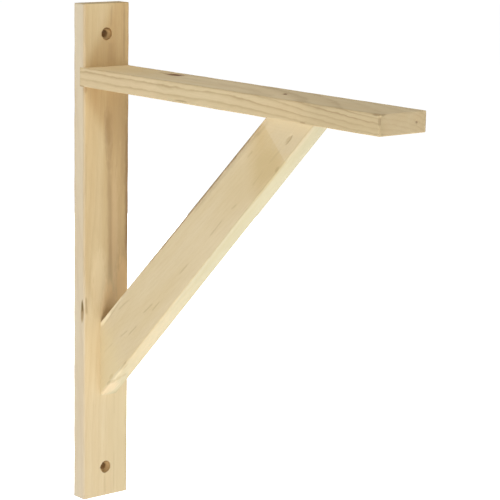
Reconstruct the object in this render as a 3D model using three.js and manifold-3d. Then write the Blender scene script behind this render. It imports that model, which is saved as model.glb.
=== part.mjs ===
// Wooden angle bracket for a wall shelf: a back plate with two screw holes, a level arm let into the
// plate in a shallow housing, and a diagonal brace standing on edge between the two.
// Millimetres. +X runs out from the wall along the arm, +Y across the width, +Z up.
// The origin is the middle of the plate's back face, which lies on the wall.
import * as THREE from 'three';
import { ConvexGeometry } from 'three/addons/geometries/ConvexGeometry.js';
import { mergeVertices } from 'three/addons/utils/BufferGeometryUtils.js';
import Module from 'manifold-3d';

// Stock and overall size
const PLATE_HEIGHT = 400;
const PLATE_THICKNESS = 14;
const STOCK_WIDTH = 43;
const BRACKET_DEPTH = 350;
const EASED_ARRIS = 0.8;

// Arm, let into the plate
const ARM_THICKNESS = 15;
const ARM_UNDERSIDE = 135.5;
const HOUSING_DEPTH = 6;
const TONGUE_CLEARANCE = 0.3;
const CHIP_ACROSS = 2.6;
const CHIP_DOWN = 6.5;

// Screw holes through the plate, each sunk at the front for the screw's head
const HOLE_DIAMETER = 6;
const SINK_DIAMETER = 10;
const SINK_STRAIGHT = 1.8;
const SINK_CONE = 2;
const HOLE_FROM_END = 24;
const HOLE_SIDES = 32;

// Brace: heights of its foot on the plate and reaches of its head under the arm
const BRACE_THICKNESS = 16;
const BRACE_NEAR_SIDE = -5.4;
const FOOT_LOWER = -115.6;
const FOOT_UPPER = -54.2;
const HEAD_INNER = 218;
const HEAD_OUTER = 269.8;

const wasm = await Module();
wasm.setup();

// A three.js geometry as a closed solid for the cuts.
function toSolid(geometry) {
  const bare = geometry.clone();
  bare.deleteAttribute('normal');
  bare.deleteAttribute('uv');
  const welded = mergeVertices(bare, 1e-5);
  return new wasm.Manifold(new wasm.Mesh({
    numProp: 3,
    vertProperties: new Float32Array(welded.attributes.position.array),
    triVerts: new Uint32Array(welded.index.array),
  }));
}

// A cut solid back as a three.js geometry with flat facets.
function toGeometry(solid) {
  const mesh = solid.getMesh();
  const geometry = new THREE.BufferGeometry();
  geometry.setAttribute('position', new THREE.BufferAttribute(new Float32Array(mesh.vertProperties), 3));
  geometry.setIndex(new THREE.BufferAttribute(new Uint32Array(mesh.triVerts), 1));
  const flat = geometry.toNonIndexed();
  flat.computeVertexNormals();
  return flat;
}

// A planed board between two corners, with every edge eased.
function board(low, high) {
  const points = [];
  for (const sx of [-1, 1]) {
    for (const sy of [-1, 1]) {
      for (const sz of [-1, 1]) {
        const off = EASED_ARRIS;
        const corner = new THREE.Vector3(
          sx < 0 ? low.x : high.x,
          sy < 0 ? low.y : high.y,
          sz < 0 ? low.z : high.z,
        );
        points.push(new THREE.Vector3(corner.x, corner.y - sy * off, corner.z - sz * off));
        points.push(new THREE.Vector3(corner.x - sx * off, corner.y, corner.z - sz * off));
        points.push(new THREE.Vector3(corner.x - sx * off, corner.y - sy * off, corner.z));
      }
    }
  }
  return toSolid(new ConvexGeometry(points));
}

// A square-edged block, for the housing and the tongue.
function block(low, high) {
  const size = new THREE.Vector3().subVectors(high, low);
  const middle = new THREE.Vector3().addVectors(low, high).multiplyScalar(0.5);
  const geometry = new THREE.BoxGeometry(size.x, size.y, size.z);
  geometry.translate(middle.x, middle.y, middle.z);
  return toSolid(geometry);
}

// A round length of drilling in the plate at one height, from one depth to another, straight or tapered.
function drilling(height, from, to, fromRadius, toRadius) {
  const geometry = new THREE.CylinderGeometry(fromRadius, toRadius, to - from, HOLE_SIDES);
  geometry.rotateZ(Math.PI / 2);
  geometry.translate((from + to) / 2, 0, height);
  return toSolid(geometry);
}

const halfWidth = STOCK_WIDTH / 2;
const halfHeight = PLATE_HEIGHT / 2;
const armTop = ARM_UNDERSIDE + ARM_THICKNESS;
const housingBottom = PLATE_THICKNESS - HOUSING_DEPTH;

// Back plate: one board, drilled near each end, with a housing cut across its front for the arm
let plate = board(
  new THREE.Vector3(0, -halfWidth, -halfHeight),
  new THREE.Vector3(PLATE_THICKNESS, halfWidth, halfHeight),
);
const straightFrom = PLATE_THICKNESS - SINK_STRAIGHT;
const coneFrom = straightFrom - SINK_CONE;
const shank = HOLE_DIAMETER / 2;
const mouth = SINK_DIAMETER / 2;
for (const side of [-1, 1]) {
  const height = side * (halfHeight - HOLE_FROM_END);
  plate = plate.subtract(drilling(height, -PLATE_THICKNESS, 2 * PLATE_THICKNESS, shank, shank));
  plate = plate.subtract(drilling(height, coneFrom, straightFrom, shank, mouth));
  plate = plate.subtract(drilling(height, straightFrom, 2 * PLATE_THICKNESS, mouth, mouth));
}
plate = plate.subtract(block(
  new THREE.Vector3(housingBottom, -STOCK_WIDTH, ARM_UNDERSIDE),
  new THREE.Vector3(2 * PLATE_THICKNESS, STOCK_WIDTH, armTop),
));

// Arm: a board out from the plate's front, with a tongue that fills the housing and bears on its bottom;
// the top corner of the free end on the near side is broken off
let arm = board(
  new THREE.Vector3(PLATE_THICKNESS, -halfWidth, ARM_UNDERSIDE),
  new THREE.Vector3(BRACKET_DEPTH, halfWidth, armTop),
);
arm = arm.add(block(
  new THREE.Vector3(housingBottom, -halfWidth, ARM_UNDERSIDE + TONGUE_CLEARANCE),
  new THREE.Vector3(PLATE_THICKNESS + 2 * EASED_ARRIS, halfWidth, armTop - TONGUE_CLEARANCE),
));
const chip = new THREE.OctahedronGeometry(1);
chip.scale(CHIP_ACROSS, CHIP_ACROSS, CHIP_DOWN);
chip.translate(BRACKET_DEPTH, -halfWidth, armTop);
arm = arm.subtract(toSolid(chip));

// Brace: like stock on edge, its ends cut to lie flat on the plate's front and under the arm;
// its two edges draw in a little towards the head
const footEase = EASED_ARRIS * Math.SQRT2;
const bracePoints = [];
for (const [side, inward] of [[BRACE_NEAR_SIDE, 1], [BRACE_NEAR_SIDE + BRACE_THICKNESS, -1]]) {
  const eased = side + inward * EASED_ARRIS;
  bracePoints.push(new THREE.Vector3(PLATE_THICKNESS, eased, FOOT_LOWER));
  bracePoints.push(new THREE.Vector3(PLATE_THICKNESS, side, FOOT_LOWER + footEase));
  bracePoints.push(new THREE.Vector3(PLATE_THICKNESS, side, FOOT_UPPER - footEase));
  bracePoints.push(new THREE.Vector3(PLATE_THICKNESS, eased, FOOT_UPPER));
  bracePoints.push(new THREE.Vector3(HEAD_INNER, eased, ARM_UNDERSIDE));
  bracePoints.push(new THREE.Vector3(HEAD_INNER + footEase, side, ARM_UNDERSIDE));
  bracePoints.push(new THREE.Vector3(HEAD_OUTER - footEase, side, ARM_UNDERSIDE));
  bracePoints.push(new THREE.Vector3(HEAD_OUTER, eased, ARM_UNDERSIDE));
}
const brace = toSolid(new ConvexGeometry(bracePoints));

// Raw planed pine, each piece its own tone
const pieces = [
  ['back_plate', plate, 0xd6bb8e],
  ['shelf_arm', arm, 0xd4be92],
  ['brace', brace, 0xdcc69a],
];
const bracket = new THREE.Group();
bracket.name = 'angle_bracket';
for (const [name, solid, colour] of pieces) {
  const material = new THREE.MeshStandardMaterial({ color: colour, roughness: 0.72, metalness: 0 });
  const mesh = new THREE.Mesh(toGeometry(solid), material);
  mesh.name = name;
  bracket.add(mesh);
}

export default bracket;
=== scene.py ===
import math

import bmesh
import bpy
import numpy as np
from mathutils import Matrix, Vector


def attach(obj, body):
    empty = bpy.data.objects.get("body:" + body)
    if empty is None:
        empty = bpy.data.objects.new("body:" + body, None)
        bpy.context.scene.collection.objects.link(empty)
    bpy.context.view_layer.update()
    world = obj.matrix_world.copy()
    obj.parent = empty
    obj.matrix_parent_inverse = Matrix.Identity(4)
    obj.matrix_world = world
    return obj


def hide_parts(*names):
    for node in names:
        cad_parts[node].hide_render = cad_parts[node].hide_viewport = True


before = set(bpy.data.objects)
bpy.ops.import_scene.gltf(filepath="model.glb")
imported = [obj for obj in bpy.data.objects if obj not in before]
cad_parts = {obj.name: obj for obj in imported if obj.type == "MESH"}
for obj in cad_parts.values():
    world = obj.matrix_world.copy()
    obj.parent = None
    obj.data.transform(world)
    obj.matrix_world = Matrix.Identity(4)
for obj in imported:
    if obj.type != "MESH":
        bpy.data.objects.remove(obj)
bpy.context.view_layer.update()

# Back plate
# An upright batten of raw planed pine with hand-eased arrises. It is screwed to the wall through two sunk
# holes near its ends, and a shallow housing is cut across its front to take the arm.

MM = 0.001
PLATE_TALL = 400.0
PLATE_WIDE = 43.0
PLATE_THICK = 14.0
PLATE_EASING = 0.9
ARM_UNDERSIDE = 135.5
ARM_THICK = 15.0
HOUSING_DEPTH = 6.0
HOUSING_PLAY = 0.03
SHANK_RADIUS = 3.0
SINK_RADIUS = 5.0
SINK_STRAIGHT = 1.8
SINK_CONE = 2.0
HOLE_HEIGHTS = (176.0, -176.0)
CORNER_STEPS = 6
LEAST_STEPS = 4
END_RINGS = 10
ARRIS_MARGIN = 1.2
RIPPLE_LENGTH = 3.4
RIPPLE_DEPTH = 0.010
WAVE_DEPTH = 0.035
UNEVENNESS = 0.35
CRISP_SHARE = 0.15
CRISP_FADE = 3.0
WELD = 0.002


def section_of_board(wide, thick, spacing):
    """Places round a rectangle with rounded corners, anticlockwise. Each place is kept as its share of the
    inner rectangle, from -1 to 1 both ways, and its outward direction. The place itself is
    share * (half size - easing) + direction * easing."""
    turns = np.linspace(0.0, math.pi / 2, CORNER_STEPS)
    shares = []
    directions = []
    for quarter, (side_across, side_through) in enumerate(((1, 1), (-1, 1), (-1, -1), (1, -1))):
        corner = np.tile((float(side_across), float(side_through)), (len(turns), 1))
        angles = turns + quarter * math.pi / 2
        shares.append(corner)
        directions.append(np.stack((np.cos(angles), np.sin(angles)), axis=1))
        run = wide if quarter % 2 == 0 else thick
        steps = np.linspace(1.0, -1.0, max(LEAST_STEPS, int(run / spacing)))[1:-1]
        fixed = np.ones_like(steps)
        if quarter % 2 == 0:
            shares.append(np.stack((steps * side_across, fixed * side_through), axis=1))
        else:
            shares.append(np.stack((fixed * side_across, steps * side_through), axis=1))
        directions.append(np.tile(directions[-1][-1], (len(steps), 1)))
    return np.concatenate(shares), np.concatenate(directions)


def rings_of_board(length, easing, stations):
    """The rings that a board's skin is drawn over, from the middle of one end to the middle of the other.
    For each ring it gives the place along the board, how far the rounded corner stands out, and how far the
    ring has shrunk over the end. Round an end's arris, place = easing * (1 - sin) and stand-out = cos."""
    shrink = np.linspace(1.0, 0.0, END_RINGS)
    angles = np.linspace(math.pi / 2, 0.0, CORNER_STEPS)[1:]
    cap = np.zeros_like(shrink)
    arris = easing * (1.0 - np.sin(angles))
    margin = easing * ARRIS_MARGIN
    middle = stations[(stations > margin) & (stations < length - margin)]
    place = np.concatenate((cap, arris, middle, length - arris[::-1], cap + length))
    stand = np.concatenate((cap, np.cos(angles), np.ones_like(middle), np.cos(angles)[::-1], cap))
    none = np.zeros_like(angles)
    shrunk = np.concatenate((shrink, none, np.zeros_like(middle), none, shrink[::-1]))
    return place, stand, shrunk


def hand_planed(place, shares, seed):
    """How deep the plane has bitten at each place, in millimetres: a sine of the ripple length along the
    board, the cutter's marks, plus the product of two slow sines of about 60 and 145 mm. Their phases differ
    from face to face."""
    face = 2.1 * shares[None, :, 0] + 1.3 * shares[None, :, 1] + seed
    along = place[:, None]
    ripple = RIPPLE_DEPTH * (1.0 + np.sin(along * 2.0 * math.pi / RIPPLE_LENGTH + face))
    slow = WAVE_DEPTH * (1.0 + np.sin(along / 9.5 + 1.7 * face) * np.sin(along / 23.0 + face))
    return ripple + slow


def planed_board(length, wide, thick, easing, stations, spacing, seed, crisp=0.0):
    """A board's skin as a grid of rings by places round each ring, in millimetres along, across and through.
    The eased arris varies along the board, easing * (1 + unevenness * sine * sine), and over an end the
    section shrinks evenly on to the end's middle line. The first crisp millimetres are hardly eased."""
    shares, directions = section_of_board(wide, thick, spacing)
    place, stand, shrunk = rings_of_board(length, easing, stations)
    lean = np.arctan2(shares[:, 1], shares[:, 0])[None, :]
    uneven = np.sin(place[:, None] / 17.0 + 2.0 * lean + seed) * np.sin(place[:, None] / 5.3 + lean)
    worn = np.clip((place - crisp + 1.0) / CRISP_FADE, CRISP_SHARE, 1.0)[:, None]
    eased = easing * worn * (1.0 + UNEVENNESS * uneven * stand[:, None])
    bite = hand_planed(place, shares, seed) * worn
    out = (eased - bite) * stand[:, None]
    inner_across = shares[None, :, 0] * (wide / 2 - eased)
    inner_through = shares[None, :, 1] * (thick / 2 - eased)
    middle_line = np.clip(inner_across, -(wide - thick) / 2, (wide - thick) / 2)
    keep = 1.0 - shrunk[:, None]
    across = inner_across * keep + middle_line * shrunk[:, None] + directions[None, :, 0] * out
    through = inner_through * keep + directions[None, :, 1] * out
    along = np.broadcast_to(place[:, None], across.shape)
    return np.stack((along, across, through), axis=-1)


def sunk_spot(grid, middle, reach, inward, depth):
    """Sinks a knot or a pitch pocket into a board: each place moves inward by depth * exp(-distance^2), where
    the distance from the spot's middle is counted in its reach along each axis."""
    distance = (grid - np.array(middle)) / np.array(reach)
    nearness = np.exp(-np.sum(distance**2, axis=-1))
    return grid + depth * nearness[..., None] * np.array(inward)


def skin(name, grid):
    """A closed mesh over a grid of places in millimetres: each ring joins the next with quads, the rings
    close on themselves, and the places that meet over the ends are merged."""
    rings, around = grid.shape[:2]
    number = np.arange(rings * around).reshape(rings, around)
    beside = np.roll(number, -1, axis=1)
    quads = np.stack((number[:-1], beside[:-1], beside[1:], number[1:]), axis=-1).reshape(-1, 4)
    mesh = bpy.data.meshes.new(name)
    mesh.from_pydata((grid.reshape(-1, 3) * MM).tolist(), [], quads.tolist())
    form = bmesh.new()
    form.from_mesh(mesh)
    bmesh.ops.remove_doubles(form, verts=form.verts, dist=WELD * MM)
    bmesh.ops.recalc_face_normals(form, faces=form.faces)
    form.to_mesh(mesh)
    form.free()
    piece = bpy.data.objects.new(name, mesh)
    bpy.context.scene.collection.objects.link(piece)
    return piece


def cut_away(piece, cutter):
    """Cuts one closed skin out of another and clears the cutter away. Places along the cut that join only two
    edges are dissolved, so that no sliver is left when the faces are split into triangles."""
    cut = piece.modifiers.new("cut", "BOOLEAN")
    cut.object = cutter
    cut.operation = "DIFFERENCE"
    cut.solver = "MANIFOLD"
    shaped = piece.evaluated_get(bpy.context.evaluated_depsgraph_get())
    mesh = bpy.data.meshes.new_from_object(shaped)
    form = bmesh.new()
    form.from_mesh(mesh)
    bmesh.ops.dissolve_limit(form, angle_limit=math.pi, verts=form.verts, edges=[])
    form.to_mesh(mesh)
    form.free()
    piece.modifiers.clear()
    piece.data = mesh
    bpy.data.objects.remove(cutter)


DRILL_OVERSHOOT = 1.5
DRILL_SIDES = 72
SHANK_RINGS = 22
HEAD_RINGS = 26
UNDERSIZE = 0.1
CHATTER = 0.08
TORN_DEPTH = 0.3
TORN_FADE = 0.5


def drilled_hole(height):
    """A drill's path through the plate, as rings round its axis: straight for the shank, then a cone and a
    short straight mouth for the screw's head. The radius wavers a little with the turn and the depth, both
    mouths are torn by up to the torn depth, which fades as exp(-depth / fade), and each end closes on the
    axis."""
    cone_end = PLATE_THICK - SINK_STRAIGHT
    cone_start = cone_end - SINK_CONE
    shank = np.linspace(-DRILL_OVERSHOOT, cone_start, SHANK_RINGS)
    head = np.linspace(cone_start, PLATE_THICK + DRILL_OVERSHOOT, HEAD_RINGS)[1:]
    depth = np.concatenate((shank, head))
    turn = np.linspace(0.0, 2.0 * math.pi, DRILL_SIDES, endpoint=False)
    bore = np.interp(depth, (cone_start, cone_end), (SHANK_RADIUS, SINK_RADIUS))[:, None]
    inside = np.clip(np.minimum(depth, PLATE_THICK - depth), 0.0, None)
    near_mouth = np.exp(-inside / TORN_FADE)[:, None]
    torn = 0.5 + 0.5 * np.sin(3.0 * turn + height) * np.sin(7.0 * turn + 0.5 * height)
    chatter = CHATTER * np.sin(5.0 * turn + 2.6 * depth[:, None])
    radius = bore - UNDERSIZE + chatter + near_mouth * TORN_DEPTH * torn[None, :]
    closed = np.zeros((1, len(turn)))
    radius = np.concatenate((closed, radius, closed))
    depth = np.concatenate((depth[:1], depth, depth[-1:]))
    x = np.broadcast_to(depth[:, None], radius.shape)
    return np.stack((x, radius * np.cos(turn), height + radius * np.sin(turn)), axis=-1)


class Grain:
    """A value or colour that varies through the wood. It wraps one socket of a material's nodes, and
    arithmetic on it adds Math nodes to the same material."""

    def __init__(self, tree, socket):
        self.tree = tree
        self.socket = socket

    def node(self, kind, settings, sockets, output=0):
        """Adds a node of one kind: its settings first, with a ramp's stops as pairs of place and shade, and
        then each socket's value or link."""
        made = self.tree.nodes.new(kind)
        for key, value in settings.items():
            if key == "stops":
                elements = made.color_ramp.elements
                for position, _ in value[1:-1]:
                    elements.new(position)
                for element, (position, shade) in zip(elements, value):
                    element.position = position
                    element.color = (shade, shade, shade, 1.0)
            else:
                setattr(made, key, value)
        for key, value in sockets.items():
            if isinstance(value, Grain):
                self.tree.links.new(value.socket, made.inputs[key])
            else:
                made.inputs[key].default_value = value
        return Grain(self.tree, made.outputs[output])

    def math(self, operation, *values):
        """Adds a Math node that works on values or on other grains."""
        return self.node("ShaderNodeMath", {"operation": operation}, dict(enumerate(values)))

    def __add__(self, other):
        return self.math("ADD", self, other)

    def __radd__(self, other):
        return self.math("ADD", other, self)

    def __sub__(self, other):
        return self.math("SUBTRACT", self, other)

    def __rsub__(self, other):
        return self.math("SUBTRACT", other, self)

    def __mul__(self, other):
        return self.math("MULTIPLY", self, other)

    def __rmul__(self, other):
        return self.math("MULTIPLY", other, self)

    def __truediv__(self, other):
        return self.math("DIVIDE", self, other)

    def __abs__(self):
        return self.math("ABSOLUTE", self)

    def root(self):
        return self.math("SQRT", self)

    def step(self, low, high):
        """0 below low, 1 above high, and a smooth rise between them."""
        sockets = {"Value": self, "From Min": low, "From Max": high, "To Min": 0.0, "To Max": 1.0}
        return self.node("ShaderNodeMapRange", {"interpolation_type": "SMOOTHSTEP"}, sockets)

    def tint(self, amount, colour, blend="MIX"):
        """This colour, taken towards another, or multiplied by it, by an amount from 0 to 1."""
        settings = {"data_type": "RGBA", "blend_type": blend}
        return self.node("ShaderNodeMix", settings, {0: amount, 6: self, 7: colour}, 2)


RING_SHADES = ((0.0, 0.35), (0.08, 0.0), (0.45, 0.05), (0.72, 0.36), (0.87, 1.0), (0.96, 0.95), (1.0, 0.35))
RING_FUZZ = 0.22
WEAKEST_RING = 0.6
WEAKEST_LINE = 0.5
FADED_AT_END = 0.6
FACE_SKIN = 3.0
FACE_FADE = 2.0
END_SKIN = (-0.7, -0.2)
FLAT_SKIN = (-1.4, -0.2)
ARRIS_SKIN = (-1.5, 0.0)
BORE_SKIN = (0.15, 0.9)
STREAK_SIDE = (0.15, 1.1)
STREAK_TIP = (0.5, 1.05)
MARK_RIM = (0.4, 1.05)
FIBRE_TINT = 0.13
ARRIS_WEAR_AND_SHADE = 0.3
LINE_RELIEF = 0.5
FIBRE_RELIEF = 0.35
FLECK_RELIEF = 0.4
MARK_RELIEF = 0.5
RELIEF_DEPTH = 0.12
BARE_ROUGHNESS = 0.78
LINE_GLOSS = 0.14
FIBRE_GLOSS = 0.08
END_ROUGHNESS = 0.1


def pine(name, board):
    """Raw planed pine, worked out through the solid board so that faces and ends agree. A growth ring is the
    distance from the tree's pith line, bent where the trunk bends and divided by the ring width, which
    narrows towards one end; each ring darkens slowly and ends in a sharp late-wood line. Fibres, resin flecks
    and broad tone are noise drawn out along the board. Zones of heartwood or sapwood, streaks, knots and
    scorched bores are laid over that. Some of the zones, streaks and marks are painted shade, a few are
    painted highlights, and the darkening of the arrises is partly painted shade.

    Places are in millimetres from the board's middle. A bend is its start, its end and its shift. A zone is
    the side it lies on, its edge, the edge's bends, its softness, whether it is only in the skin of the
    board's face, and its shade. A streak, in that skin too, is its start, finish, half width and depth. A
    mark is its middle, half sizes, shade and depth, and a bore its height and radius."""
    material = bpy.data.materials.new(name)
    material.use_nodes = True
    tree = material.node_tree
    shader = tree.nodes["Principled BSDF"]
    place = Grain(tree, None).node("ShaderNodeTexCoord", {}, {}, "Object")
    offset = place.node("ShaderNodeVectorMath", {"operation": "SUBTRACT"}, {0: place, 1: board["middle"]})
    axes = []
    for direction in (board["along"], board["across"], board["through"]):
        scaled = tuple(part / MM for part in direction)
        settings = {"operation": "DOT_PRODUCT"}
        axes.append(place.node("ShaderNodeVectorMath", settings, {0: offset, 1: scaled}, "Value"))
    along, across, through = axes
    half_length, half_wide, half_thick = board["half"]

    def noise(length, width, detail):
        """Noise whose cells are about so long and so wide, in millimetres."""
        sockets = {"X": along / length + board["seed"], "Y": across / width, "Z": through / width}
        spot = place.node("ShaderNodeCombineXYZ", {}, sockets)
        settings = {"noise_dimensions": "3D"}
        return place.node("ShaderNodeTexNoise", settings, {"Vector": spot, "Scale": 1.0, "Detail": detail})

    def bent(value, bends):
        """A value plus a smooth shift for each bend, which starts and ends at two places along the board."""
        for low, high, shift in bends:
            value = value + along.step(low, high) * shift
        return value

    # The skin of the board, and a fuzz that frays every edge in it
    fuzz = noise(length=7.0, width=1.6, detail=2.0) - 0.5
    skin_start = half_thick - FACE_SKIN
    face_skin = (through * board["face"]).step(skin_start, skin_start + FACE_FADE)
    end = (abs(along) - half_length).step(*END_SKIN)
    flat = (abs(through) - half_thick).step(*FLAT_SKIN)

    # Growth rings and their late-wood lines
    pith_across, pith_through = board["pith"]
    from_pith_across = across - pith_across
    from_pith_through = through - pith_through
    distance = (from_pith_across * from_pith_across + from_pith_through * from_pith_through).root()
    wander = (noise(length=80.0, width=22.0, detail=2.0) - 0.5) * board["wander"]
    ripple = (noise(length=16.0, width=7.0, detail=3.0) - 0.5) * board["ripple"]
    low, high, share = board["crowding"]
    crowded = (along.step(low, high) * share + 1.0) / board["ring"]
    wavy = distance + (wander + ripple)
    rings = (bent(wavy, board["bends"]) - board["first_ring"]) * crowded + fuzz * RING_FUZZ
    phase = rings.math("FRACT", rings)
    late = phase.node("ShaderNodeValToRGB", {"stops": RING_SHADES}, {"Fac": phase})
    each = rings.math("FLOOR", rings)
    chance = each.node("ShaderNodeTexWhiteNoise", {"noise_dimensions": "1D"}, {"W": each})
    strength = chance * (1.0 - WEAKEST_RING) + WEAKEST_RING
    fading = noise(length=55.0, width=12.0, detail=2.0).step(0.3, 0.62)
    lines = late * strength * (fading * (1.0 - WEAKEST_LINE) + WEAKEST_LINE)
    lines = lines * (1.0 - end * FADED_AT_END) * (1.0 - flat * board["flat_fade"])

    # Tone, fibres and resin flecks
    fibre = noise(length=11.0, width=0.55, detail=3.0)
    flecks = noise(length=4.5, width=0.36, detail=1.0).step(0.66, 0.78)
    tone = noise(length=130.0, width=13.0, detail=2.0).step(0.3, 0.7)
    sockets = {0: tone, 6: board["pale"], 7: board["warm"]}
    colour = tone.node("ShaderNodeMix", {"data_type": "RGBA"}, sockets, 2)
    colour = colour.tint(lines * board["line_depth"], board["late"])
    colour = colour.tint(fibre.step(0.35, 0.75) * FIBRE_TINT, board["late"])
    colour = colour.tint(flecks * board["fleck_depth"], board["late"])
    relief = fibre * FIBRE_RELIEF + lines * LINE_RELIEF - flecks * FLECK_RELIEF

    # Zones, streaks, marks and bores, each edge frayed by the fuzz
    for side, edge, bends, soft, skin_deep, shade in board["zones"]:
        over = ((across - bent(fuzz * 0.8 + edge, bends)) * side).step(-soft, soft)
        if skin_deep:
            over = over * face_skin
        colour = colour.tint(over, shade, "MULTIPLY")
    for start, finish, width, depth in board["streaks"]:
        slope = (finish[1] - start[1]) / (finish[0] - start[0])
        aside = abs(across - start[1] - (along - start[0]) * slope) / width + fuzz * 0.9
        beyond = abs(along - (start[0] + finish[0]) / 2) / (abs(finish[0] - start[0]) / 2) + fuzz * 0.6
        mask = (1.0 - aside.step(*STREAK_SIDE)) * (1.0 - beyond.step(*STREAK_TIP))
        colour = colour.tint(mask * face_skin * depth, board["streak"])
    for middle, half_sizes, shade, depth in board["marks"]:
        gap = [at - centre for at, centre in zip(axes, middle)]
        spread = [part / half for part, half in zip(gap, half_sizes)]
        reach = (spread[0] * spread[0] + spread[1] * spread[1] + spread[2] * spread[2]).root()
        mask = (1.0 - (reach + fuzz * 0.8).step(*MARK_RIM)) * depth
        colour = colour.tint(mask, shade)
        relief = relief - mask * MARK_RELIEF
    for height, radius in board["bores"]:
        rise = along - height
        reach = (rise * rise + across * across).root() + fuzz * 0.5
        below_face = (half_thick - abs(through)).step(*BORE_SKIN)
        scorched = (1.0 - reach.step(radius - 0.1, radius + 0.4)) * below_face
        colour = colour.tint(scorched, board["scorch"], "MULTIPLY")

    # Arrises darkened, partly as handling wear and partly as painted shade, and darker sawn ends
    wide_here = half_wide - along * board["taper"]
    arris = (abs(across) - wide_here).step(*ARRIS_SKIN) * (abs(through) - half_thick).step(*ARRIS_SKIN)
    colour = colour.tint(arris * ARRIS_WEAR_AND_SHADE, board["late"])
    colour = colour.tint(end, board["end"], "MULTIPLY")

    # The shader's sockets
    sockets = {"Strength": 0.35, "Distance": RELIEF_DEPTH * MM, "Height": relief}
    bump = relief.node("ShaderNodeBump", {}, sockets)
    rough = BARE_ROUGHNESS - lines * LINE_GLOSS - fibre * FIBRE_GLOSS + end * END_ROUGHNESS
    tree.links.new(colour.socket, shader.inputs["Base Color"])
    tree.links.new(rough.socket, shader.inputs["Roughness"])
    tree.links.new(bump.socket, shader.inputs["Normal"])
    shader.inputs["IOR"].default_value = 1.45
    shader.inputs["Specular IOR Level"].default_value = 0.35
    return material


SAWN_EDGE = math.radians(38.0)


def finish_piece(piece, material, node):
    """Gives a finished piece its wood, smooth faces with crisp cut edges, and its place on the bracket."""
    piece.data.materials.clear()
    piece.data.materials.append(material)
    piece.data.shade_smooth()
    piece.data.set_sharp_from_angle(angle=SAWN_EDGE)
    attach(piece, "root")
    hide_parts(node)


PLATE_STEP = 1.7
plate_grid = planed_board(
    length=PLATE_TALL,
    wide=PLATE_WIDE,
    thick=PLATE_THICK,
    easing=PLATE_EASING,
    stations=np.arange(0.0, PLATE_TALL, PLATE_STEP),
    spacing=1.6,
    seed=0.4,
)
plate_grid = np.stack(
    (plate_grid[..., 2] + PLATE_THICK / 2, plate_grid[..., 1], plate_grid[..., 0] - PLATE_TALL / 2), axis=-1
)
EDGE_KNOT = (-45.0, -21.5, 4.4)
edge_knot_place = (PLATE_THICK / 2 + EDGE_KNOT[2], EDGE_KNOT[1], EDGE_KNOT[0])
plate_grid = sunk_spot(
    plate_grid, middle=edge_knot_place, reach=(2.0, 1.5, 6.5), inward=(-0.3, 0.95, 0.0), depth=0.35
)
plate = skin("back_plate_board", plate_grid)
housing_tall = ARM_THICK + 2 * HOUSING_PLAY
CUTTER_RUN = 60.0
CUTTER_WIDE = 24.0
CUTTER_STEP = 2.0
housing_grid = planed_board(
    length=CUTTER_RUN,
    wide=CUTTER_WIDE,
    thick=housing_tall,
    easing=0.2,
    stations=np.arange(0.0, CUTTER_RUN, CUTTER_STEP),
    spacing=1.5,
    seed=1.9,
)
housing_grid = np.stack(
    (
        housing_grid[..., 1] + PLATE_THICK - HOUSING_DEPTH + CUTTER_WIDE / 2,
        housing_grid[..., 0] - CUTTER_RUN / 2,
        housing_grid[..., 2] + ARM_UNDERSIDE + ARM_THICK / 2,
    ),
    axis=-1,
)
cut_away(plate, skin("housing_cut", housing_grid))
for hole_height in HOLE_HEIGHTS:
    cut_away(plate, skin("drill_path", drilled_hole(hole_height)))

# Two zones darken the skin of the plate's front: partly a warmer wood tone, partly painted shade cast by the
# arm and the brace, whose edges follow the bends.
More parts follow.
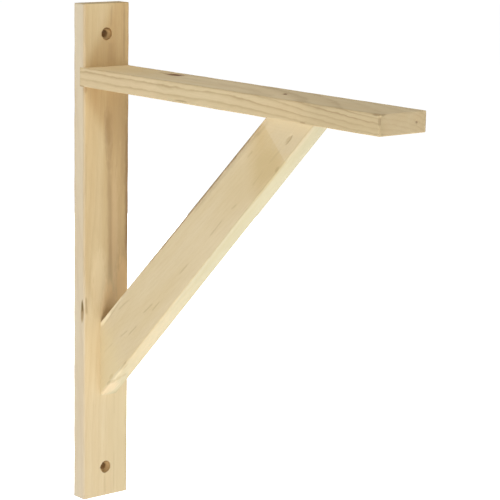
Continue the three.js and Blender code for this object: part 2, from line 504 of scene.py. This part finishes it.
HEARTWOOD_AND_SHADE = (0.865, 0.785, 0.685, 1.0)
RIPE_WOOD_AND_SHADE = (0.915, 0.855, 0.755, 1.0)
SAPWOOD = (0.98, 1.02, 1.18, 1.0)
SHADE_IN_HOLES = (0.10, 0.055, 0.02, 1.0)
HEARTWOOD_AND_SHADE_BENDS = ((-70.0, 10.0, -27.0), (85.0, 135.0, -20.0), (145.0, 202.0, 24.0))
plate_wood = pine(
    "plate_pine",
    {
        "middle": (0.5 * PLATE_THICK * MM, 0.0, 0.0),
        "along": (0.0, 0.0, 1.0),
        "across": (0.0, 1.0, 0.0),
        "through": (1.0, 0.0, 0.0),
        "half": (PLATE_TALL / 2, PLATE_WIDE / 2, PLATE_THICK / 2),
        "face": 1.0,
        "taper": 0.0,
        "pith": (90.0, -60.0),
        "bends": ((-200.0, 200.0, 3.0),),
        "first_ring": 0.0,
        "ring": 5.2,
        "crowding": (-200.0, 200.0, 0.15),
        "wander": 5.0,
        "ripple": 0.7,
        "seed": 3.7,
        "pale": (0.635, 0.53, 0.335, 1.0),
        "warm": (0.60, 0.475, 0.28, 1.0),
        "late": (0.40, 0.26, 0.12, 1.0),
        "streak": (0.24, 0.14, 0.06, 1.0),
        "scorch": (0.75, 0.60, 0.43, 1.0),
        "end": (0.74, 0.72, 0.68, 1.0),
        "line_depth": 0.16,
        "flat_fade": 0.0,
        "fleck_depth": 0.18,
        "zones": (
            (1.0, 30.0, ((-135.0, 5.0, -56.0),), 8.0, True, RIPE_WOOD_AND_SHADE),
            (1.0, 28.0, HEARTWOOD_AND_SHADE_BENDS, 7.0, True, HEARTWOOD_AND_SHADE),
            (-1.0, -20.4, (), 0.8, False, SAPWOOD),
        ),
        "streaks": (
            ((200.0, 4.8), (180.0, 4.2), 1.2, 0.25),
            ((203.0, 17.0), (146.0, 16.6), 1.6, 0.38),
            ((172.0, 4.0), (150.0, 4.6), 5.0, 0.16),
            # A dark band along the front's right edge: painted shade of the far arris.
            ((134.0, 20.0), (-26.0, 20.4), 2.6, 0.72),
            ((124.0, 1.6), (66.0, 2.6), 4.4, 0.27),
            ((115.0, 0.6), (84.0, 1.8), 5.0, 0.26),
            ((84.0, 2.6), (-44.0, 4.6), 3.2, 0.30),
            ((122.0, 17.0), (40.0, 17.4), 4.4, 0.24),
            ((95.0, -20.0), (40.0, -20.2), 1.6, 0.12),
            ((-114.0, 8.4), (-134.0, 8.6), 1.0, 0.2),
            ((-161.0, 8.2), (-200.0, 8.4), 0.9, 0.28),
            ((-182.0, -1.2), (-199.0, -0.4), 1.1, 0.16),
            ((-118.0, 20.4), (-202.0, 20.2), 1.4, 0.2),
            ((-31.0, -19.4), (-48.0, -19.0), 1.3, 0.45),
        ),
        "marks": (
            (EDGE_KNOT, (10.5, 2.4, 2.4), (0.30, 0.20, 0.085, 1.0), 0.85),
            ((-40.0, -21.5, 4.4), (6.0, 2.2, 2.0), (0.13, 0.085, 0.02, 1.0), 0.85),
            # A dark patch just under the arm at the front's left edge: painted shadow under the arm.
            ((133.5, -20.4, 7.0), (4.5, 2.2, 2.0), (0.36, 0.23, 0.10, 1.0), 0.55),
            # Darker over the front's right part below the arm: painted shadow of the arm.
            ((112.0, 14.0, 7.0), (34.0, 16.0, 5.0), (0.43, 0.285, 0.13, 1.0), 0.45),
            # A warm, lighter patch by the brace's foot: painted bounce light in the brace's shade.
            ((-42.0, 3.5, 7.0), (26.0, 9.5, 4.0), (0.72, 0.50, 0.25, 1.0), 0.75),
            # A warm, lighter patch right of the brace's foot: painted warm bounce light in the shade there.
            ((-30.0, 17.0, 7.0), (36.0, 12.0, 5.0), (0.66, 0.44, 0.21, 1.0), 0.8),
            ((20.0, 8.4, 7.0), (70.0, 4.0, 4.0), (0.66, 0.49, 0.29, 1.0), 0.3),
            # A lighter patch left of the brace: painted light that lifts the shade beside the brace.
            ((-20.0, -7.0, 7.0), (34.0, 9.0, 4.0), (0.70, 0.565, 0.345, 1.0), 0.5),
            ((-150.0, 15.0, 7.0), (80.0, 17.0, 5.0), (0.57, 0.46, 0.27, 1.0), 0.6),
            # Dark patches on the upper walls of the sunk holes: painted shade, as from light from above.
            *(((height + 2.8, -2.2, 4.2), (2.7, 2.6, 2.8), SHADE_IN_HOLES, 0.8) for height in HOLE_HEIGHTS),
            *(((height + 4.4, 1.6, 4.2), (1.9, 2.8, 2.7), SHADE_IN_HOLES, 0.6) for height in HOLE_HEIGHTS),
        ),
        "bores": tuple((height, SINK_RADIUS) for height in HOLE_HEIGHTS),
    },
)
finish_piece(plate, plate_wood, "back_plate")

# Shelf arm
# A level batten of the same pine that the shelf lies on. Its inner end is let into the housing in the plate,
# and the top corner of its free end on the near side has been knocked off.

ARM_REACH = 350.0
ARM_WIDE = 43.0
ARM_EASING = 0.9
TONGUE_GAP = 0.02
ARM_STEP = 1.0
FINE_STEP = 0.5
FINE_STRETCH = 22.0
arm_start = PLATE_THICK - HOUSING_DEPTH + TONGUE_GAP
arm_length = ARM_REACH - arm_start
fine_start = arm_length - FINE_STRETCH
coarse_stations = np.arange(0.0, fine_start, ARM_STEP)
fine_stations = np.arange(fine_start, arm_length, FINE_STEP)
arm_grid = planed_board(
    length=arm_length,
    wide=ARM_WIDE,
    thick=ARM_THICK,
    easing=ARM_EASING,
    stations=np.concatenate((coarse_stations, fine_stations)),
    spacing=0.9,
    seed=2.6,
    crisp=HOUSING_DEPTH,
)
TOP_KNOT = (-89.5, 9.2, ARM_THICK / 2)
TOP_POCKET = (49.0, 0.2, ARM_THICK / 2)
END_POCKET = (arm_length / 2, 12.7, 0.2)
DOWN = (0.0, 0.0, -1.0)
BACK = (-1.0, 0.0, 0.0)
arm_from_middle = arm_grid - np.array((arm_length / 2, 0.0, 0.0))
arm_from_middle = sunk_spot(arm_from_middle, TOP_KNOT, reach=(8.5, 4.0, 2.0), inward=DOWN, depth=0.4)
arm_from_middle = sunk_spot(arm_from_middle, TOP_POCKET, reach=(2.4, 1.4, 2.0), inward=DOWN, depth=1.0)
arm_from_middle = sunk_spot(arm_from_middle, END_POCKET, reach=(2.0, 1.2, 1.1), inward=BACK, depth=0.9)
arm_grid = np.stack(
    (
        arm_from_middle[..., 0] + (arm_start + ARM_REACH) / 2,
        arm_from_middle[..., 1],
        arm_from_middle[..., 2] + ARM_UNDERSIDE + ARM_THICK / 2,
    ),
    axis=-1,
)


SPLINTER = 0.25


def knocked_corner(grid, corner, facing, depth):
    """Breaks a corner off: every place beyond the fracture plane is set back on to it. The plane lies depth
    inside the corner, and splinters run down it, splinter * (1 + sine * sine) deep."""
    facing = np.array(facing) / np.linalg.norm(facing)
    beyond = (grid - np.array(corner)) @ facing + depth
    splinter = SPLINTER * (1.0 + np.sin(grid[..., 1] * 4.1 + grid[..., 0] * 1.3) * np.sin(grid[..., 2] * 1.1))
    back = np.where(beyond > 0.0, beyond + splinter * np.clip(beyond, 0.0, 1.0), 0.0)
    return grid - back[..., None] * facing


arm_corner = (ARM_REACH, -ARM_WIDE / 2, ARM_UNDERSIDE + ARM_THICK)
arm_grid = knocked_corner(arm_grid, arm_corner, facing=(1.0, -1.0, 0.42), depth=1.7)
arm = skin("shelf_arm_board", arm_grid)
HANDLED = (0.94, 0.94, 0.92, 1.0)
DARKER_TO_FREE_END = (0.905, 0.905, 0.895, 1.0)
arm_wood = pine(
    "arm_pine",
    {
        "middle": (0.5 * (arm_start + ARM_REACH) * MM, 0.0, (ARM_UNDERSIDE + ARM_THICK / 2) * MM),
        "along": (1.0, 0.0, 0.0),
        "across": (0.0, 1.0, 0.0),
        "through": (0.0, 0.0, 1.0),
        "half": (arm_length / 2, ARM_WIDE / 2, ARM_THICK / 2),
        "face": 1.0,
        "taper": 0.0,
        "pith": (-21.5, -80.0),
        "bends": ((-10.0, 190.0, 7.4),),
        "first_ring": 78.5,
        "ring": 6.0,
        "crowding": (0.0, 190.0, 0.8),
        "wander": 2.4,
        "ripple": 2.8,
        "seed": 11.3,
        "pale": (0.625, 0.51, 0.315, 1.0),
        "warm": (0.59, 0.465, 0.275, 1.0),
        "late": (0.30, 0.19, 0.075, 1.0),
        "streak": (0.20, 0.12, 0.05, 1.0),
        "end": (0.80, 0.79, 0.78, 1.0),
        "line_depth": 0.62,
        "flat_fade": 0.45,
        "fleck_depth": 0.18,
        "zones": (
            # The arm darkens towards its free end.
            (1.0, 30.0, ((-50.0, 150.0, -62.0),), 5.0, False, DARKER_TO_FREE_END),
            (-1.0, -30.0, ((-120.0, -40.0, 13.0),), 2.5, False, HANDLED),
        ),
        "streaks": (((8.0, 13.5), (22.0, 13.2), 2.0, 0.25),),
        "marks": (
            (TOP_KNOT, (15.0, 6.2, 3.0), (0.30, 0.155, 0.055, 1.0), 0.75),
            (TOP_KNOT, (12.0, 5.4, 3.0), (0.09, 0.014, 0.0, 1.0), 0.98),
            ((-150.0, 4.0, 9.0), (85.0, 40.0, 4.0), (0.56, 0.42, 0.215, 1.0), 0.85),
            ((-103.0, 9.6, 7.5), (10.0, 3.0, 2.0), (0.30, 0.19, 0.08, 1.0), 0.45),
            ((170.4, -21.0, 3.6), (1.3, 1.3, 5.0), (0.20, 0.14, 0.065, 1.0), 0.5),
            ((167.6, -21.0, 7.3), (5.0, 1.8, 1.4), (0.20, 0.14, 0.065, 1.0), 0.65),
            ((170.6, -18.4, 7.3), (1.5, 4.0, 1.3), (0.20, 0.14, 0.065, 1.0), 0.45),
            (TOP_POCKET, (2.8, 3.0, 5.0), (0.08, 0.012, 0.0, 1.0), 0.98),
            (END_POCKET, (4.0, 1.3, 1.2), (0.16, 0.10, 0.05, 1.0), 0.7),
            ((94.5, -21.5, -6.4), (3.6, 1.5, 0.9), (0.22, 0.14, 0.05, 1.0), 0.4),
            # A dark spot where the arm's underside enters the plate on the near side: painted shade at the
            # joint.
            ((-168.0, -21.5, -7.0), (5.0, 1.5, 0.8), (0.22, 0.14, 0.06, 1.0), 0.5),
            ((171.0, 21.2, 0.0), (1.4, 0.9, 9.0), (0.26, 0.19, 0.10, 1.0), 0.45),
            ((-42.0, -21.5, -5.6), (9.0, 1.5, 0.8), (0.22, 0.14, 0.05, 1.0), 0.5),
        ),
        "bores": (),
    },
)
finish_piece(arm, arm_wood, "shelf_arm")

# Brace
# A strut of like pine turned on edge, drawing in a little towards its head, where it has a drying crack.
# Both ends are sawn to lie flat, the foot on the plate's front and the head under the arm, a little to one
# side of the middle. The foot's lower arris is worn.

BRACE_THICK = 16.0
BRACE_MIDDLE = 2.6
BRACE_EASING = 0.9
FOOT_LOWER = -115.6
FOOT_UPPER = -54.2
HEAD_INNER = 218.0
HEAD_OUTER = 269.8
BRACE_RUN = 330.0
BRACE_WIDE = 40.0
FINE_FROM = 0.86
FINE_RINGS = 100
COARSE_RINGS = 190
NEAR_SKIN = 0.3


def ruled_brace(stations, spacing, seed):
    """The brace's skin: each place of the section is a straight line from the foot, on the plate's front, to
    the head, under the arm, so place = foot + (head - foot) * share of the way. Over each end the section
    shrinks on to the end's middle line."""
    shares, directions = section_of_board(BRACE_WIDE, BRACE_THICK, spacing)
    ends = np.linspace(1.0, 0.0, END_RINGS)
    shrunk = np.concatenate((ends, np.zeros_like(stations), ends[::-1]))[:, None]
    keep = 1.0 - shrunk
    way = np.concatenate((np.zeros_like(ends), stations, np.ones_like(ends)))[:, None]
    half_wide = BRACE_WIDE / 2
    half_thick = BRACE_THICK / 2
    bite = hand_planed(way[:, 0] * BRACE_RUN, shares, seed)
    out = BRACE_EASING - bite
    edgeways = shares[None, :, 0] * (half_wide - BRACE_EASING)
    middle_line = np.clip(edgeways, half_thick - half_wide, half_wide - half_thick)
    edgeways = edgeways * keep + middle_line * shrunk + directions[None, :, 0] * out * keep
    edgeways = edgeways / half_wide
    sideways = shares[None, :, 1] * (half_thick - BRACE_EASING) + directions[None, :, 1] * out
    sideways = BRACE_MIDDLE + sideways * keep
    foot_height = FOOT_LOWER + (FOOT_UPPER - FOOT_LOWER) * (edgeways + 1.0) / 2
    head_reach = HEAD_OUTER + (HEAD_INNER - HEAD_OUTER) * (edgeways + 1.0) / 2
    x = PLATE_THICK + (head_reach - PLATE_THICK) * way
    z = foot_height + (ARM_UNDERSIDE - foot_height) * way
    return np.stack((x, sideways, z), axis=-1)


def drying_crack(grid, start, finish, bow, depth, width):
    """A curved crack in the near side: depth * exp(-(distance from the curve / width)^2), tapering to nothing
    at both ends. The curve bows away from the straight line between its ends as a parabola."""
    line = np.array(finish) - np.array(start)
    reach = np.linalg.norm(line)
    line = line / reach
    gap = grid[..., (0, 2)] - np.array(start)
    run = (gap @ line) / reach
    aside = gap @ np.array((-line[1], line[0])) - bow * 4.0 * run * (1.0 - run)
    inside = np.clip(4.0 * run * (1.0 - run), 0.0, 1.0) * (run > 0.0) * (run < 1.0)
    near_side = grid[..., 1] < BRACE_MIDDLE - BRACE_THICK / 2 + NEAR_SKIN
    groove = depth * np.sqrt(inside) * np.exp(-((aside / width) ** 2)) * near_side
    shift = np.zeros_like(grid)
    shift[..., 1] = groove
    return grid + shift


coarse_ways = np.linspace(0.0, FINE_FROM, COARSE_RINGS)[:-1]
fine_ways = np.linspace(FINE_FROM, 1.0, FINE_RINGS)
brace_stations = np.concatenate((coarse_ways, fine_ways))
brace_grid = ruled_brace(brace_stations, spacing=0.6, seed=5.2)
brace_grid = drying_crack(
    brace_grid, start=(244.4, 124.0), finish=(236.8, 116.0), bow=0.4, depth=0.7, width=0.55
)
foot_corner = (PLATE_THICK, BRACE_MIDDLE - BRACE_THICK / 2, FOOT_LOWER)
brace_grid = knocked_corner(brace_grid, foot_corner, facing=(0.478, -0.707, -0.522), depth=0.6)
brace_grid[..., 0] = np.maximum(brace_grid[..., 0], PLATE_THICK)
brace = skin("brace_board", brace_grid)
foot_middle = (FOOT_LOWER + FOOT_UPPER) / 2
head_middle = (HEAD_INNER + HEAD_OUTER) / 2
brace_turn = math.atan2(ARM_UNDERSIDE - foot_middle, head_middle - PLATE_THICK)
brace_along = (math.cos(brace_turn), 0.0, math.sin(brace_turn))
brace_across = (-math.sin(brace_turn), 0.0, math.cos(brace_turn))
brace_middle = ((head_middle + PLATE_THICK) / 2, BRACE_MIDDLE, (ARM_UNDERSIDE + foot_middle) / 2)

# The brace's ends are sawn aslant, so the half length of its wood lies well beyond them and darkens neither.
BEYOND_ENDS = 400.0
DARKER_BELOW_HEAD = (0.93, 0.89, 0.80, 1.0)
BRACE_SAPWOOD = (0.84, 0.925, 0.98, 1.0)
brace_wood = pine(
    "brace_pine",
    {
        "middle": tuple(part * MM for part in brace_middle),
        "along": brace_along,
        "across": brace_across,
        "through": (0.0, 1.0, 0.0),
        "half": (BEYOND_ENDS, BRACE_WIDE / 2, BRACE_THICK / 2),
        "face": -1.0,
        "taper": 0.0135,
        "pith": (-60.0, 40.0),
        "bends": ((-210.0, -40.0, 14.0),),
        "first_ring": 0.0,
        "ring": 2.8,
        "crowding": (-160.0, 160.0, 0.2),
        "wander": 2.4,
        "ripple": 0.6,
        "seed": 23.1,
        "pale": (0.60, 0.497, 0.315, 1.0),
        "warm": (0.57, 0.46, 0.27, 1.0),
        "late": (0.38, 0.25, 0.11, 1.0),
        "streak": (0.22, 0.14, 0.06, 1.0),
        "end": (0.8, 0.78, 0.75, 1.0),
        "line_depth": 0.10,
        "flat_fade": 0.0,
        "fleck_depth": 0.26,
        "zones": (
            (-1.0, -21.9, ((-190.0, 190.0, 4.6),), 0.4, False, BRACE_SAPWOOD),
            # The near face darkens towards the head and stops sharply just short of it.
            (-1.0, -44.0, ((50.0, 150.0, 88.0), (130.2, 134.4, -120.0)), 20.0, True, DARKER_BELOW_HEAD),
        ),
        "streaks": (
            ((-152.0, 1.5), (-134.0, 0.0), 0.9, 0.24),
            ((-125.0, -1.5), (-110.0, -3.5), 0.8, 0.24),
            ((-114.0, -6.5), (-97.0, -7.5), 0.8, 0.30),
            ((-86.0, -4.5), (-68.0, -6.0), 0.9, 0.27),
            ((-75.0, -9.5), (-59.0, -10.0), 0.8, 0.30),
            ((-113.0, 16.0), (-91.0, 13.5), 0.9, 0.24),
            ((-27.0, -8.0), (-9.0, -8.5), 0.8, 0.24),
            ((23.0, -8.0), (47.0, -8.0), 0.8, 0.27),
            ((60.0, -8.0), (68.0, -9.0), 0.8, 0.24),
            ((90.0, -9.5), (112.0, -8.5), 0.8, 0.21),
            ((116.0, -8.5), (136.0, -9.0), 0.9, 0.24),
            ((100.0, 9.0), (109.0, 9.0), 0.8, 0.21),
            ((116.0, 14.0), (138.0, 13.5), 1.6, 0.20),
            ((-128.0, -20.6), (-145.0, -21.2), 1.0, 0.42),
            ((-135.0, 17.5), (-104.0, 19.0), 0.6, 0.22),
            ((10.0, 17.0), (140.0, 15.0), 2.6, 0.2),
            # A dark line along the upper arris, which faces the corner under the arm: painted shade.
            ((-70.0, 20.5), (152.0, 17.0), 1.5, 0.85),
        ),
        "marks": (
            ((-165.0, 0.0, -8.0), (42.0, 44.0, 6.0), (0.62, 0.515, 0.30, 1.0), 0.6),
            # Cream patches on the upper arris near the foot: painted highlight.
            ((-131.0, 20.8, -8.0), (15.0, 3.2, 3.0), (0.80, 0.70, 0.48, 1.0), 0.9),
            ((-112.0, 21.4, -8.0), (18.0, 2.0, 3.0), (0.80, 0.70, 0.48, 1.0), 0.8),
            ((-160.0, -21.0, -8.0), (27.0, 2.2, 3.0), (0.62, 0.54, 0.365, 1.0), 0.7),
            ((-156.5, -18.8, -8.0), (4.5, 2.4, 2.0), (0.36, 0.27, 0.13, 1.0), 0.3),
            ((-163.0, -20.6, -8.0), (4.5, 1.8, 2.0), (0.33, 0.25, 0.12, 1.0), 0.45),
            ((-170.0, -22.0, -4.0), (14.0, 2.5, 10.0), (0.68, 0.53, 0.34, 1.0), 0.6),
            ((-159.0, -22.0, -6.5), (4.0, 1.5, 3.0), (0.40, 0.31, 0.17, 1.0), 0.5),
            ((-155.0, -22.0, -3.0), (4.0, 1.5, 3.0), (0.40, 0.31, 0.17, 1.0), 0.45),
            ((-151.0, -22.0, 1.0), (4.0, 1.5, 3.0), (0.40, 0.31, 0.17, 1.0), 0.4),
            ((-137.0, -21.9, -5.5), (6.0, 1.5, 1.6), (0.40, 0.31, 0.17, 1.0), 0.4),
            ((158.0, 0.0, -8.0), (36.0, 40.0, 6.0), (0.545, 0.46, 0.305, 1.0), 0.6),
            ((114.0, -8.0, -8.0), (20.0, 13.0, 4.0), (0.48, 0.37, 0.185, 1.0), 0.5),
            ((146.0, -9.0, -8.0), (6.0, 1.8, 3.0), (0.26, 0.18, 0.08, 1.0), 0.45),
            ((121.4, -17.0, -8.0), (4.0, 1.4, 2.0), (0.33, 0.24, 0.11, 1.0), 0.45),
        ),
        "bores": (),
    },
)
finish_piece(brace, brace_wood, "brace")

# Studio
# A plain white floor that glows softly like a light table, a white backdrop that gives hardly any light,
# and broad soft lamps in front, to the left, overhead and behind. The camera stands where the photograph was
# taken from.

FLOOR_HEIGHT = -0.32
FLOOR_REACH = 40.0
floor_mesh = bpy.data.meshes.new("floor")
floor_signs = ((-1, -1), (1, -1), (1, 1), (-1, 1))
floor_corners = [(sx * FLOOR_REACH, sy * FLOOR_REACH, FLOOR_HEIGHT) for sx, sy in floor_signs]
floor_mesh.from_pydata(floor_corners, [], [(0, 1, 2, 3)])
floor = bpy.data.objects.new("floor", floor_mesh)
bpy.context.scene.collection.objects.link(floor)
floor_paint = bpy.data.materials.new("floor_paint")
floor_paint.use_nodes = True
floor_shader = floor_paint.node_tree.nodes["Principled BSDF"]
floor_shader.inputs["Base Color"].default_value = (0.85, 0.85, 0.85, 1.0)
floor_shader.inputs["Roughness"].default_value = 1.0
floor_shader.inputs["Emission Color"].default_value = (1.0, 1.0, 1.0, 1.0)
floor_shader.inputs["Emission Strength"].default_value = 1.0
floor_mesh.materials.append(floor_paint)

world = bpy.data.worlds.new("pale_sky")
world.use_nodes = True
sky = world.node_tree.nodes["Background"]
sky.inputs["Color"].default_value = (1.0, 1.0, 1.0, 1.0)
sky.inputs["Strength"].default_value = 0.02
seen = Grain(world.node_tree, None).node("ShaderNodeLightPath", {}, {}, "Is Camera Ray")
lit = Grain(world.node_tree, sky.outputs["Background"])
backdrop = seen.node("ShaderNodeBackground", {}, {"Color": (1.0, 1.0, 1.0, 1.0), "Strength": 1.0})
shown = seen.node("ShaderNodeMixShader", {}, {0: seen, 1: lit, 2: backdrop})
world.node_tree.links.new(shown.socket, world.node_tree.nodes["World Output"].inputs["Surface"])
bpy.context.scene.world = world


def soft_lamp(name, place, aim, side, strength):
    """A square soft lamp at a place, facing a point; its strength is in watts."""
    light = bpy.data.lights.new(name, "AREA")
    light.shape = "SQUARE"
    light.size = side
    light.energy = strength
    lamp = bpy.data.objects.new(name, light)
    lamp.location = place
    lamp.rotation_mode = "QUATERNION"
    lamp.rotation_quaternion = (Vector(aim) - Vector(place)).to_track_quat("-Z", "Y")
    bpy.context.scene.collection.objects.link(lamp)


soft_lamp("front_lamp", place=(2.2, -0.3, 0.6), aim=(0.05, 0.0, 0.0), side=0.7, strength=22.0)
soft_lamp("left_lamp", place=(0.4, -1.9, 0.05), aim=(0.15, 0.0, 0.0), side=1.0, strength=15.0)
soft_lamp("top_lamp", place=(0.2, 0.0, 1.8), aim=(0.2, 0.0, 0.0), side=0.8, strength=22.0)
soft_lamp("back_lamp", place=(-1.4, 1.4, 0.0), aim=(0.1, 0.0, 0.0), side=0.6, strength=12.0)

VIEW_AZIMUTH = math.radians(50.30)
VIEW_ELEVATION = math.radians(11.04)
VIEW_ROLL = math.radians(0.96)
VIEW_DISTANCE = 1.653
VIEW_ASIDE = 0.1237
VIEW_RISE = 0.0015
FOCAL_PIXELS = 2058.0
IMAGE_PIXELS = 500.0
SENSOR_WIDTH = 36.0
away = Vector(
    (
        math.sin(VIEW_AZIMUTH) * math.cos(VIEW_ELEVATION),
        -math.cos(VIEW_AZIMUTH) * math.cos(VIEW_ELEVATION),
        math.sin(VIEW_ELEVATION),
    )
)
level_right = Vector((math.cos(VIEW_AZIMUTH), math.sin(VIEW_AZIMUTH), 0.0))
level_up = away.cross(level_right)
view_right = level_right * math.cos(VIEW_ROLL) + level_up * math.sin(VIEW_ROLL)
view_up = level_up * math.cos(VIEW_ROLL) - level_right * math.sin(VIEW_ROLL)
camera_data = bpy.data.cameras.new("camera")
camera_data.sensor_width = SENSOR_WIDTH
camera_data.lens = FOCAL_PIXELS * SENSOR_WIDTH / IMAGE_PIXELS
camera_data.clip_start = 0.05
camera_data.clip_end = 200.0
camera = bpy.data.objects.new("camera", camera_data)
stand = away * VIEW_DISTANCE + view_right * VIEW_ASIDE + view_up * VIEW_RISE
turned = Matrix((view_right, view_up, away)).transposed().to_4x4()
camera.matrix_world = Matrix.Translation(stand) @ turned
bpy.context.scene.collection.objects.link(camera)
bpy.context.scene.camera = camera
bpy.context.scene.view_settings.view_transform = "Standard"
